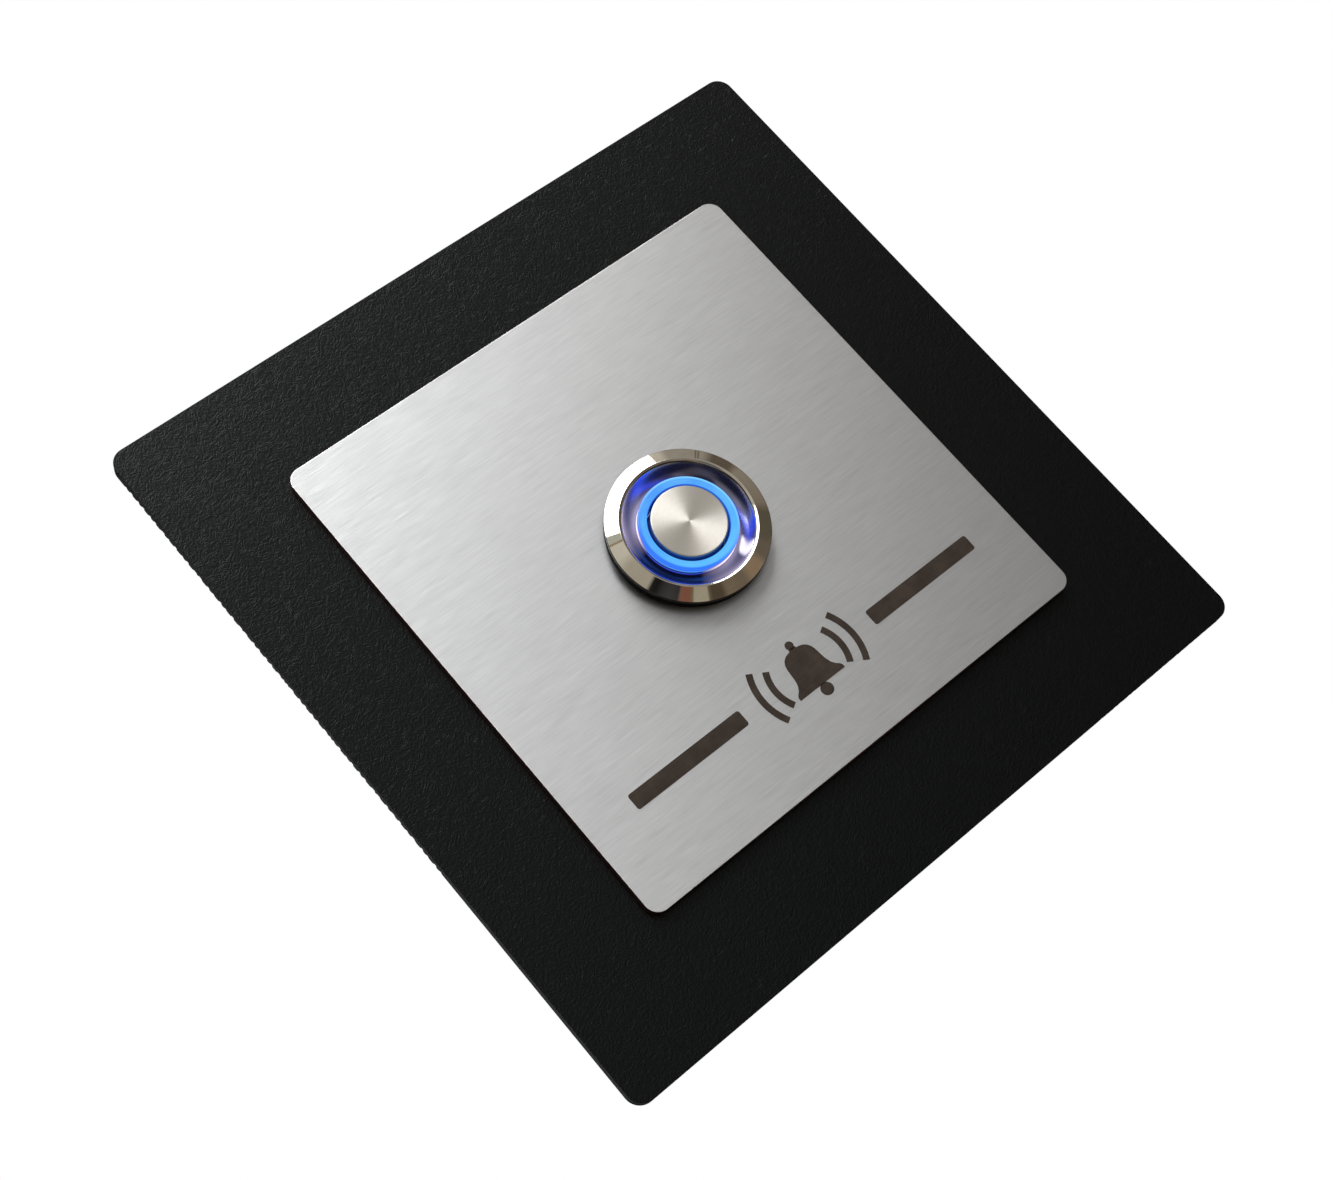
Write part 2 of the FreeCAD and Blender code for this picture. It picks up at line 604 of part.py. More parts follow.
def lamp_leads():
    """The two short leads from the lamp board to the lamp terminals."""
    back = HOUSING_FLOOR_FRONT - LAMP_TERMINAL_STUB
    leads = [peg(LEAD_RADIUS, 0, side * TERMINAL_OFFSET, BOARD_BACK, back) for side in (1, -1)]
    return Part.makeCompound(leads)


PIECES = {
    "wall_tape": wall_tape(),
    "base_plate": base_plate(),
    "face_adhesive": face_adhesive(),
    "face_plate": face_plate(),
    "head_gasket": head_gasket(),
    "switch_body": switch_body(),
    "panel_nut": panel_nut(),
    "light_ring": light_ring(),
    "led_board": led_board(),
    "led_chips": led_chips(),
    "led_resistor": led_resistor(),
    "button_cap": button_cap(),
    "plunger": plunger(),
    "guide_sleeve": guide_sleeve(),
    "plunger_seal": plunger_seal(),
    "retaining_clip": retaining_clip(),
    "return_spring": return_spring(),
    "contact_bridge": contact_bridge(),
    "moving_contacts": moving_contacts(),
    "fixed_contacts": fixed_contacts(),
    "contact_housing": contact_housing(),
    "rear_potting": rear_potting(),
    "common_terminal": contact_terminal(1),
    "switched_terminal": contact_terminal(-1),
    "lamp_plus_terminal": lamp_terminal(1),
    "lamp_minus_terminal": lamp_terminal(-1),
    "lamp_leads": lamp_leads(),
}

os.makedirs("parts", exist_ok=True)
for name, shape in PIECES.items():
    shape.exportStep(f"parts/{name}.step")
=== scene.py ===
import json
import math

import bmesh
import bpy
from mathutils import Matrix, Vector


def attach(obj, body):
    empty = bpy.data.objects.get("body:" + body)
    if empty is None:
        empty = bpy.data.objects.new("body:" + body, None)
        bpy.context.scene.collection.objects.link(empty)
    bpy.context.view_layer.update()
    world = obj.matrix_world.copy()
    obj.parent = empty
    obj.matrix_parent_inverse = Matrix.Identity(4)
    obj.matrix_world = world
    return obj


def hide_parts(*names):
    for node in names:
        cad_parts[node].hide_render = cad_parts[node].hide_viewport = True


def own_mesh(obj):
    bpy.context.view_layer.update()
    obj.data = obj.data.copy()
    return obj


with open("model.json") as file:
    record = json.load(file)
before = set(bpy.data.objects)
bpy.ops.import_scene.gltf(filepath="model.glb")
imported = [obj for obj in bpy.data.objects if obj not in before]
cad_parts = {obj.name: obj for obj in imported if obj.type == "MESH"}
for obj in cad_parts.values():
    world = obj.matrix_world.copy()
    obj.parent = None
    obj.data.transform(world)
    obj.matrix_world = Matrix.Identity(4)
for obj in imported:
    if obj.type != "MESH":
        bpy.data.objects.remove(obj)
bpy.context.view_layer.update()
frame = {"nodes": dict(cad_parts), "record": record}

# The frame is in metres and is the CAD's: X to the right, Z up, -Y out of the wall.
MM = 0.001
FIXED = "plate_and_switch"
MOVING = "button"


# Sizes in millimetres: radii and half widths, and places along Y

# The two plates
BASE_HALF = 43.0
BASE_FRONT = -2.5
BASE_BACK = -1.0
BASE_CORNER = 1.8
FACE_HALF = 30.0
FACE_FRONT = -3.65
FACE_BACK = -2.65
FACE_CORNER = 1.6
PLATE_HOLE = 8.1
PLATE_ROUNDING = 0.08
NICK_HEIGHT = 0.4

# The switch's head, bowl and barrel
HEAD_RIM = -5.90
HEAD_EDGE = -5.15
HEAD_SEAT = -4.75
HEAD_RADIUS = 9.0
RIM_RADIUS = 7.5
LIP = (7.2, -5.78)
LIP_ROUNDING = 0.14
THROAT = (5.48, -4.5)
BOWL_MIDDLE = (6.512, -5.012)
WEB_BACK = -3.15
BARREL_END = 11.25
BARREL_CHAMFER = 0.5
BORE_RADIUS = 7.0
THREAD_RADIUS = 8.0
THREAD_ROOT = 7.42
THREAD_PITCH = 1.0
THREAD_START = -2.9
THREAD_END = 10.95
GASKET_RADIUS = 8.9

# The ring of light, with its flange and skirt under the bowl
LIGHT_TOP = -5.67
LIGHT_INNER = 4.46
LIGHT_OUTER = 5.46
LIGHT_FLANGE = 6.98
LIGHT_BACK = -2.35
SKIRT_INNER = 6.38
SKIRT_BACK = -1.65

# The cap, with the boss that takes the plunger, and its spring
CAP_RADIUS = 4.16
CAP_TOP = -6.05
CAP_BACK = -3.45
CAP_INNER = 3.51
CAP_ROOF = -5.05
BOSS_RADIUS = 2.395
BOSS_BACK = -2.37
BOSS_BORE = 1.495
BOSS_BORE_END = -5.39

# The mark on the steel
MARK_FRONT = -3.665
MARK_BACK = -3.645
MARK_MIDDLE = -19.6


# Modelling by hand

def start_clean():
    """Leaves edit mode with nothing selected, so that a tool acts on its own piece only."""
    if bpy.context.object and bpy.context.object.mode != "OBJECT":
        bpy.ops.object.mode_set(mode="OBJECT")
    bpy.ops.object.select_all(action="DESELECT")


def begin(name):
    """Names the primitive that was just added, puts its place into its mesh and opens it."""
    piece = bpy.context.object
    piece.name = name
    piece.data.name = name
    bpy.ops.object.transform_apply(location=True, rotation=True, scale=True)
    bpy.ops.object.mode_set(mode="EDIT")
    bpy.ops.mesh.select_mode(type="VERT")
    return piece


def select_all():
    bpy.ops.mesh.select_all(action="SELECT")


def pick(kind, rule):
    """Selects the vertices, edges or faces of the open mesh that a rule holds for."""
    bpy.ops.mesh.select_all(action="DESELECT")
    bpy.ops.mesh.select_mode(type={"verts": "VERT", "edges": "EDGE", "faces": "FACE"}[kind])
    mesh = bmesh.from_edit_mesh(bpy.context.object.data)
    for element in getattr(mesh, kind):
        element.select_set(rule(element))
    mesh.select_flush_mode()
    bmesh.update_edit_mesh(bpy.context.object.data)


def close_up(piece, angle=30):
    """Merges doubles, turns the faces outwards and shades the soft edges smooth."""
    select_all()
    bpy.ops.mesh.remove_doubles(threshold=1e-6)
    bpy.ops.mesh.normals_make_consistent(inside=False)
    bpy.ops.object.mode_set(mode="OBJECT")
    bpy.ops.object.shade_smooth_by_angle(angle=math.radians(angle))
    return piece


def on_ring(edge, radius, depth):
    """True for an edge of the turned ring with this radius and depth, in millimetres."""
    return all(
        abs(math.hypot(v.co.x, v.co.z) - radius * MM) < 2e-6 and abs(v.co.y - depth * MM) < 2e-6
        for v in edge.verts)


def turned(name, outline, breaks=(), sides=180):
    """A piece turned about the Y axis: a ring, extruded and resized along its outline.

    The outline is a list of (radius, depth) pairs in millimetres. It is closed, or its ends lie
    on the axis. Each break is a corner (radius, depth, width, segments) that is bevelled.
    """
    start_clean()
    radius, depth = outline[0]
    bpy.ops.mesh.primitive_circle_add(
        vertices=sides, radius=radius * MM, fill_type="NOTHING",
        location=(0, depth * MM, 0), rotation=(math.pi / 2, 0, 0))
    piece = begin(name)
    select_all()
    for next_radius, next_depth in outline[1:]:
        step = (0, (next_depth - depth) * MM, 0)
        bpy.ops.mesh.extrude_region_move(TRANSFORM_OT_translate={"value": step})
        grow = next_radius / radius
        if grow != 1:
            bpy.ops.transform.resize(value=(grow, 1, grow), center_override=(0, next_depth * MM, 0))
        radius, depth = next_radius, next_depth
    select_all()
    bpy.ops.mesh.remove_doubles(threshold=1e-6)
    for break_radius, break_depth, width, segments in breaks:
        pick("edges", lambda edge: on_ring(edge, break_radius, break_depth))
        bpy.ops.mesh.bevel(offset=width * MM, segments=segments, affect="EDGES")
    for end_radius, end_depth in (outline[0], outline[-1]):
        if end_radius < 0.1:
            pick("verts", lambda v: v.co.xz.length < 2e-4 and abs(v.co.y - end_depth * MM) < 2e-6)
            bpy.ops.mesh.merge(type="CENTER")
    return close_up(piece)


def arc_between(start, middle, end, steps):
    """Points of the round curve through three points, from start to end, both left out."""
    ax, ay = start
    bx, by = middle
    cx, cy = end
    d = 2 * (ax * (by - cy) + bx * (cy - ay) + cx * (ay - by))
    aa, bb, cc = ax * ax + ay * ay, bx * bx + by * by, cx * cx + cy * cy
    ux = (aa * (by - cy) + bb * (cy - ay) + cc * (ay - by)) / d
    uy = (aa * (cx - bx) + bb * (ax - cx) + cc * (bx - ax)) / d
    radius = math.hypot(ax - ux, ay - uy)
    first = math.atan2(ay - uy, ax - ux)
    last = math.atan2(cy - uy, cx - ux)
    sweep = (last - first + math.pi) % (2 * math.pi) - math.pi
    turns = [first + sweep * k / steps for k in range(1, steps)]
    return [(ux + radius * math.cos(turn), uy + radius * math.sin(turn)) for turn in turns]


def enlarge(times):
    """Resizes the selected piece about the origin, in its mesh."""
    bpy.ops.transform.resize(value=(times, times, times), center_override=(0, 0, 0))
    bpy.ops.object.transform_apply(scale=True)


def finish_piece(piece, material, body, slot, *replaced):
    """Keeps flat and conical faces true beside their rounded edges, and takes the piece into the frame."""
    start_clean()
    piece.select_set(True)
    bpy.context.view_layer.objects.active = piece
    enlarge(1000)
    true_faces = piece.modifiers.new("true_faces", "WEIGHTED_NORMAL")
    true_faces.keep_sharp = True
    true_faces.weight = 75
    bpy.ops.object.modifier_apply(modifier=true_faces.name)
    enlarge(0.001)
    piece.data.materials.clear()
    piece.data.materials.append(material)
    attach(piece, body)
    if replaced:
        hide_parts(*replaced)


# Procedural finishes

class Wire:
    """A node's output, so that shader maths reads as plain expressions."""

    def __init__(self, finish, socket):
        self.finish = finish
        self.socket = socket

    def maths(self, operation, *values):
        return self.finish.maths(operation, self, *values)

    def __add__(self, other):
        return self.maths("ADD", other)

    def __radd__(self, other):
        return self.finish.maths("ADD", other, self)

    def __sub__(self, other):
        return self.maths("SUBTRACT", other)

    def __rsub__(self, other):
        return self.finish.maths("SUBTRACT", other, self)

    def __mul__(self, other):
        return self.maths("MULTIPLY", other)

    def __rmul__(self, other):
        return self.finish.maths("MULTIPLY", other, self)

    def __pow__(self, other):
        return self.maths("POWER", other)

    def __lt__(self, other):
        return self.maths("LESS_THAN", other)


class Finish:
    """A material or world whose nodes are added by one method."""

    def __init__(self, owner, shader):
        owner.use_nodes = True
        self.owner = owner
        self.tree = owner.node_tree
        self.shader = self.tree.nodes[shader]

    def node(self, kind, settings=None, inputs=None, output=0):
        """Adds a node: its settings first, then its sockets. Returns one of its outputs."""
        node = self.tree.nodes.new(kind)
        for name, value in (settings or {}).items():
            if name == "stops":
                self.set_stops(node.color_ramp.elements, value)
            else:
                setattr(node, name, value)
        for name, value in (inputs or {}).items():
            self.feed(node.inputs[name], value)
        return Wire(self, node.outputs[output])

    def set_stops(self, elements, stops):
        while len(elements) < len(stops):
            elements.new(1)
        for element, (place, colour) in zip(elements, stops):
            element.position = place
            element.color = colour

    def feed(self, socket, value):
        if isinstance(value, Wire):
            self.tree.links.new(value.socket, socket)
        else:
            socket.default_value = value

    def surface(self, **inputs):
        for name, value in inputs.items():
            self.feed(self.shader.inputs[name.replace("_", " ")], value)

    def place(self):
        """The point's own place in the object's frame."""
        return self.node("ShaderNodeTexCoord", output="Object")

    def noise(self, scale, detail=2.0, roughness=0.5, stretch=(1, 1, 1), distortion=0.0):
        """A soft noise about a half. Scale is in waves per metre."""
        size = tuple(scale * factor for factor in stretch)
        vector = self.node("ShaderNodeMapping", {}, {"Vector": self.place(), "Scale": size})
        inputs = {"Vector": vector, "Scale": 1.0, "Detail": detail, "Roughness": roughness}
        return self.node("ShaderNodeTexNoise", {}, {**inputs, "Distortion": distortion})

    def from_axis(self):
        """The point's own place along X, Y and Z, and its distance from the switch's axis."""
        x, y, z = self.components(self.place())
        return x, y, z, (x * x + z * z) ** 0.5

    def turned_lines(self, radius, count, detail):
        """A noise that changes only with the radius, with this many waves to the metre."""
        inputs = {"W": radius * count, "Scale": 1.0, "Detail": detail}
        return self.node("ShaderNodeTexNoise", {"noise_dimensions": "1D"}, inputs)

    def facing(self):
        """The surface's own normal along Y: -1 where it faces straight out of the wall."""
        return self.components(self.node("ShaderNodeNewGeometry", output="Normal"))[1]

    def camera_ray(self):
        """1 for what the camera sees by itself, 0 for what is mirrored or gives light."""
        return self.node("ShaderNodeLightPath", output="Is Camera Ray")

    def blend(self, factor, first, second):
        """A colour between two colours."""
        inputs = {0: factor, 6: first, 7: second}
        return self.node("ShaderNodeMix", {"data_type": "RGBA"}, inputs, output=2)

    def spread(self, value, low, high, start=0.0, end=1.0):
        """A value from start to end as the wire goes from low to high, held beyond them."""
        inputs = {"Value": value, "From Min": low, "From Max": high, "To Min": start, "To Max": end}
        return self.node("ShaderNodeMapRange", {"clamp": True}, inputs)

    def bump(self, height, distance):
        return self.node("ShaderNodeBump", {}, {"Height": height, "Distance": distance})

    def maths(self, operation, *values):
        return self.node("ShaderNodeMath", {"operation": operation}, dict(enumerate(values)))

    def vector(self, operation, *values):
        return self.node("ShaderNodeVectorMath", {"operation": operation}, dict(enumerate(values)))

    def length(self, vector):
        return self.node("ShaderNodeVectorMath", {"operation": "LENGTH"}, {0: vector}, output="Value")

    def scaled(self, vector, factor):
        return self.node("ShaderNodeVectorMath", {"operation": "SCALE"}, {0: vector, "Scale": factor})

    def components(self, vector):
        """The X, Y and Z of a vector."""
        node = self.tree.nodes.new("ShaderNodeSeparateXYZ")
        self.feed(node.inputs[0], vector)
        return [Wire(self, output) for output in node.outputs]

    def combine(self, x, y, z):
        return self.node("ShaderNodeCombineXYZ", {}, {"X": x, "Y": y, "Z": z})

    def tilted_normal(self, tilt):
        """The surface's own normal, leant over by a tilt vector."""
        normal = self.node("ShaderNodeNewGeometry", output="Normal")
        return self.vector("NORMALIZE", self.vector("ADD", normal, tilt))


def rgb(red, green, blue):
    """A colour from the 0 to 255 numbers it is seen as."""
    return tuple(
        (c / 255 / 12.92) if c < 10.31 else ((c / 255 + 0.055) / 1.055) ** 2.4
        for c in (red, green, blue)) + (1.0,)


def new_finish(name):
    """A new material, whose look the caller sets."""
    return Finish(bpy.data.materials.new(name), "Principled BSDF")


def grained_black_plastic():
    """Black moulded sheet: fine worm-like ridges wander over its front, and its edges are plain."""
    f = new_finish("grained_black_plastic")
    front = f.spread(f.facing(), -0.95, -0.8, 1.0, 0.0)
    pits = f.noise(3200, 2.0)

    def worms(scale, turns, twist):
        """Ridges that follow the level lines of a soft noise."""
        return f.maths("SINE", f.noise(scale, 0.0, distortion=twist) * (math.tau * turns))

    ridges = worms(980, 5.4, 0.5) * 0.6 + worms(1600, 3.6, 0.8) * 0.5
    height = (ridges * 0.5 + pits * 1.1) * front
    specks = f.spread(f.noise(5200, 1.0), 0.68, 0.74)
    f.surface(
        Base_Color=f.blend(f.spread(pits, 0.3, 0.7), rgb(1, 2, 2), rgb(4, 5, 5)),
        Roughness=f.spread(pits, 0.3, 0.7, 0.37, 0.32) + (1 - front) * 0.4 - specks * 0.15,
        Specular_IOR_Level=0.21, Specular_Tint=(0.93, 0.99, 1.0, 1.0), Normal=f.bump(height, 0.000017))
    return f.owner


def brushed_steel_sheet():
    """Stainless sheet brushed along X: its shine spreads up and down, over long fine scratches, with a
    painted reddish reflection on its rounded edges.
    """
    f = new_finish("brushed_steel_sheet")
    hair = f.noise(14000, 2.0, 0.6, (0.02, 1.0, 1.0), 0.1) - 0.5
    fine = f.noise(6400, 2.0, 0.6, (0.04, 1.0, 1.0), 0.15) - 0.5
    broad = f.noise(1300, 3.0, 0.6, (0.16, 1.0, 1.0), 0.3) - 0.5
    scuffs = f.noise(2600, 3.0, 0.6, (0.5, 1.0, 1.0), 0.6) - 0.5
    tilt = hair * 0.11 + fine * 0.1 + broad * 0.02 + scuffs * 0.03
    tone = f.spread(hair * 0.7 + fine * 0.7 + broad * 0.3, -0.3, 0.3)
    sheet = f.blend(tone, rgb(205, 206, 208), rgb(220, 221, 222))
    # Painted reflection: the rounded edges take a thin reddish line of caught light.
    edge = f.spread(f.facing(), -0.97, -0.85)
    f.surface(
        Base_Color=f.blend(edge, sheet, rgb(206, 150, 134)), Metallic=1.0,
        Anisotropic=0.8, Anisotropic_Rotation=0.25,
        Roughness=f.spread(fine + broad, -0.3, 0.3, 0.37, 0.33),
        Normal=f.tilted_normal(f.combine(0.0, 0.0, tilt)))
    return f.owner


def polished_metal():
    """Bright polished switch metal: duller in the bowl, and painted shade, black, on the short wall under the
    bevel.
    """
    f = new_finish("polished_metal")
    _, y, _, radius = f.from_axis()
    smear = f.noise(900, 3.0)
    polish = f.blend(f.spread(smear, 0.3, 0.7), rgb(204, 199, 192), rgb(212, 208, 202))
    bowl = f.spread(radius, LIP[0] * MM, (LIP[0] - 0.2) * MM) * (y < (WEB_BACK - 0.15) * MM)
    # Painted shade: the short wall under the bevel is coloured black.
    wall = f.spread(radius, (HEAD_RADIUS - 0.06) * MM, (HEAD_RADIUS - 0.03) * MM)
    f.surface(
        Base_Color=f.blend(wall, f.blend(bowl, polish, rgb(132, 134, 158)), rgb(22, 21, 20)),
        Metallic=1.0, Roughness=f.spread(smear, 0.3, 0.8, 0.03, 0.06) + wall * 0.3 + bowl * 0.13)
    return f.owner


def spun_metal():
    """The cap's spun finish: turned grooves whose sides lean in and out, so that its shine fans out."""
    f = new_finish("spun_metal")
    x, _, z, radius = f.from_axis()
    grooves = f.turned_lines(radius, 14000, 2.0) - 0.5
    streaks = f.noise(2200, 2.0) - 0.5
    away = f.vector("NORMALIZE", f.combine(x, 0.0, z))
    tone = f.spread(grooves + streaks * 0.4, -0.3, 0.3)
    colour = f.blend(tone, rgb(212, 207, 199), rgb(225, 222, 216))
    rough = f.spread(streaks, -0.2, 0.2, 0.38, 0.35)
    mixed = None
    for turn, lean in enumerate((-0.13, 0.13, -0.36, 0.36)):
        groove_side = f.tilted_normal(f.scaled(away, grooves * 0.05 + lean))
        side = f.shader if turn == 0 else f.tree.nodes.new("ShaderNodeBsdfPrincipled")
        for name, value in (
                ("Base Color", colour), ("Metallic", 1.0), ("Roughness", rough), ("Normal", groove_side)):
            f.feed(side.inputs[name], value)
        shine = Wire(f, side.outputs[0])
        if turn == 0:
            mixed = shine
        else:
            mixed = f.node("ShaderNodeMixShader", {}, {0: 1 / (turn + 1), 1: mixed, 2: shine})
    f.feed(f.tree.nodes["Material Output"].inputs["Surface"], mixed)
    return f.owner


def lit_plastic():
    """The glowing ring: a pale blue top, deeper blue walls whose glow ends above the bowl, and painted shade
    on its dark inside; painted highlights and reflections are added to the glow.
    """
    f = new_finish("lit_plastic")
    strength = 2.4

    def lit(red, green, blue):
        """A colour as the glow shows it."""
        return tuple(c / strength for c in rgb(red, green, blue)[:3]) + (1.0,)

    x, y, z, radius = f.from_axis()
    far = x * 0.857 + z * 0.515
    clouds = f.spread(f.noise(420, 2.0), 0.35, 0.65)
    turned_lines = f.spread(f.turned_lines(radius, 5000, 1.0), 0.3, 0.7)
    top = f.blend(f.spread(z, 4 * MM, -5 * MM), lit(60, 146, 247), lit(80, 182, 252))
    top = f.blend(clouds * 0.25 + turned_lines * 0.2, top, lit(118, 208, 255))
    # The top's outer edge: a painted highlight on its far side and painted shade on its near side.
    edge = f.blend(f.spread(far, -4 * MM, 4 * MM), lit(38, 120, 244), lit(126, 208, 255))
    top = f.blend(f.spread(radius, 5.12 * MM, 5.3 * MM), top, edge)
    # The inner wall: painted shade that darkens deeper into the gap round the cap.
    inside = f.blend(f.spread(y, -5.62 * MM, -4.9 * MM), lit(34, 96, 214), lit(4, 32, 104))
    top = f.blend(f.spread(radius, (LIGHT_INNER + 0.05) * MM, (LIGHT_INNER + 0.02) * MM), top, inside)
    depth = f.spread(y, -5.6 * MM, -4.75 * MM)
    deep = (0.0125, 0.08, 1.0, 1)
    blue = f.node("ShaderNodeValToRGB", {"stops": (
        (0.0, deep), (0.2, deep), (0.34, lit(26, 50, 140)), (0.66, lit(16, 32, 96)),
        (0.8, lit(6, 16, 60)), (1.0, lit(2, 5, 26)))}, {"Fac": depth})
    # Beside the button the wall's glow turns pale grey-violet and whitish: a painted reflection of the
    # window's light.
    palest = (0.5, 0.42, 0.48, 1)
    pale = f.node("ShaderNodeValToRGB", {"stops": (
        (0.0, deep), (0.18, deep), (0.28, (0.07, 0.065, 0.11, 1)), (0.47, (0.12, 0.11, 0.16, 1)),
        (0.7, (0.36, 0.32, 0.38, 1)), (0.85, palest), (1.0, palest))}, {"Fac": depth})
    beside = f.maths("ABSOLUTE", z * 0.857 - x * 0.515)
    wall = f.blend(f.spread(beside, 3.0 * MM, 5.0 * MM), blue, pale)
    # A brighter painted glow on the near side's foot, and a fainter one below it.
    near = f.spread(far, -3.4 * MM, -4.6 * MM)
    foot = f.spread(y, -5.35 * MM, -5.2 * MM) * f.spread(y, -4.86 * MM, -4.92 * MM)
    wall = f.blend(near * foot, wall, lit(62, 142, 244))
    wall = f.blend(near * f.spread(y, -4.64 * MM, -4.56 * MM), wall, lit(60, 84, 226))
    # A painted white hot spot low on the wall: a painted highlight of the window's light.
    away = f.vector("SUBTRACT", f.place(), (3.286 * MM, -5.22 * MM, -4.36 * MM))
    reach = f.length(f.vector("MULTIPLY", away, (1.0, 6.0, 1.0)))
    wall = f.blend(f.spread(reach, 1.1 * MM, 0.7 * MM), wall, (2.2, 2.0, 1.7, 1))
    on_wall = f.spread(radius, (LIGHT_OUTER - 0.06) * MM, (LIGHT_OUTER - 0.01) * MM)
    f.surface(
        Base_Color=f.blend(on_wall, rgb(20, 28, 52), rgb(60, 60, 84)),
        Roughness=f.spread(clouds, 0.0, 1.0, 0.14, 0.2), Emission_Color=f.blend(on_wall, top, wall),
        Emission_Strength=strength)
    return f.owner


def plain_finish(
        name, dark, light, rough, smooth, scale, metallic=0.0, bump=0.0, specular=0.5, stretch=(1, 1, 1)):
    """A finish mottled between two colours, with a fine surface."""
    f = new_finish(name)
    grain = f.noise(scale, 3.0, 0.6, stretch)
    clouds = f.noise(scale / 9, 2.0)
    mottle = f.spread(grain * 0.6 + clouds * 0.4, 0.35, 0.65)
    f.surface(
        Base_Color=f.blend(mottle, rgb(*dark), rgb(*light)), Metallic=metallic, Specular_IOR_Level=specular,
        Roughness=f.spread(clouds + grain * 0.3, 0.4, 0.9, rough, smooth))
    if bump:
        f.surface(Normal=f.bump(grain, bump))
    return f.owner


# Two colours, roughest and smoothest, waves to the metre, then metal, height, gloss and stretch
PLAIN_FINISHES = {
    "nickel_nut": ((176, 170, 158), (200, 194, 183), 0.30, 0.20, 1500, 1.0, 4e-6),
    "black_rubber": ((4, 4, 4), (8, 8, 8), 0.8, 0.65, 3000, 0.0, 6e-6, 0.1),
    "foam_tape": ((52, 52, 54), (72, 72, 74), 0.95, 0.85, 2600, 0.0, 3e-5, 0.2),
    "clear_adhesive": ((176, 170, 150), (196, 190, 172), 0.5, 0.35, 1200),
    "black_plastic": ((16, 16, 17), (27, 27, 28), 0.5, 0.4, 4000, 0.0, 6e-6, 0.35),
    "white_plastic": ((222, 220, 212), (236, 234, 228), 0.5, 0.4, 2500, 0.0, 4e-6),
    "board": ((216, 219, 220), (232, 234, 235), 0.4, 0.3, 2500, 0.0, 4e-6),
    "lamp_case": ((226, 222, 208), (238, 235, 225), 0.4, 0.3, 4000),
    "ceramic_chip": ((22, 22, 24), (48, 48, 50), 0.5, 0.4, 4000),
    "resin": ((14, 14, 15), (30, 30, 31), 0.26, 0.16, 700, 0.0, 2e-5),
    "spring_steel": ((150, 150, 150), (186, 186, 184), 0.32, 0.22, 3000, 1.0, 2e-6),
    "tinned_brass": ((196, 194, 188), (216, 214, 208), 0.52, 0.42, 1800, 1.0, 4e-6, 0.5, (1, 0.15, 1)),
    "silver_alloy": ((200, 198, 192), (220, 218, 212), 0.3, 0.2, 3000, 1.0, 2e-6),
    "lead_insulation": ((150, 28, 24), (170, 38, 32), 0.5, 0.4, 2500),
}


def mark_brown():
    """The dark brown of a mark that is burnt into steel."""
    f = new_finish("burnt_mark")
    brush = f.noise(6000, 2.0, 0.6, (0.03, 1.0, 1.0))
    clouds = f.noise(700, 2.0)
    tone = f.spread(brush * 0.4 + clouds * 0.6, 0.35, 0.65)
    f.surface(
        Base_Color=f.blend(tone, rgb(50, 42, 37), rgb(66, 57, 50)), Specular_IOR_Level=0.2,
        Roughness=f.spread(brush, 0.3, 0.7, 0.6, 0.5))
    return f.owner


FINISHES = {name: plain_finish(name, *values) for name, values in PLAIN_FINISHES.items()}
FINISHES["grained_black_plastic"] = grained_black_plastic()
FINISHES["brushed_steel_sheet"] = brushed_steel_sheet()
FINISHES["polished_metal"] = polished_metal()
FINISHES["spun_metal"] = spun_metal()
FINISHES["lit_plastic"] = lit_plastic()

# Every carried-over node gets the finish of its own slot
for row in frame["record"]["subparts"]:
    mesh = frame["nodes"][row["node"]].data
    for place in range(len(mesh.materials)):
        mesh.materials[place] = FINISHES[row["material_slot"]]


# The turned switch: head, bowl and barrel

def threads():
    """The thread alone: one pitch of its outline, swept round and on, then cut square."""
    start_clean()
    first = THREAD_START - 2 * THREAD_PITCH
    bpy.ops.mesh.primitive_plane_add(size=MM, location=(THREAD_ROOT * MM, first * MM, 0))
    piece = begin("threads")
    select_all()
    bpy.ops.mesh.merge(type="CENTER")
    height = THREAD_RADIUS - THREAD_ROOT
    for rise, run in ((0, 0.06), (height, 0.35), (0, 0.18), (-height, 0.35), (0, 0.06)):
        step = (rise * MM, run * MM, 0)
        bpy.ops.mesh.extrude_region_move(TRANSFORM_OT_translate={"value": step})
    bpy.ops.object.mode_set(mode="OBJECT")
    sweep = piece.modifiers.new("thread", "SCREW")
    sweep.axis = "Y"
    sweep.steps = 72
    sweep.render_steps = 72
    sweep.screw_offset = THREAD_PITCH * MM
    sweep.iterations = math.ceil(THREAD_END - first) + 2
    bpy.ops.object.modifier_apply(modifier=sweep.name)
    bpy.ops.object.mode_set(mode="EDIT")
    select_all()
    bpy.ops.mesh.remove_doubles(threshold=1e-6)
    for depth, side in ((THREAD_START, -1), (THREAD_END, 1)):
        select_all()
        bpy.ops.mesh.bisect(
            plane_co=(0, depth * MM, 0), plane_no=(0, side, 0), clear_outer=True, threshold=1e-7)
    select_all()
    bpy.ops.mesh.remove_doubles(threshold=1e-6)
    bpy.ops.object.mode_set(mode="OBJECT")
    return piece


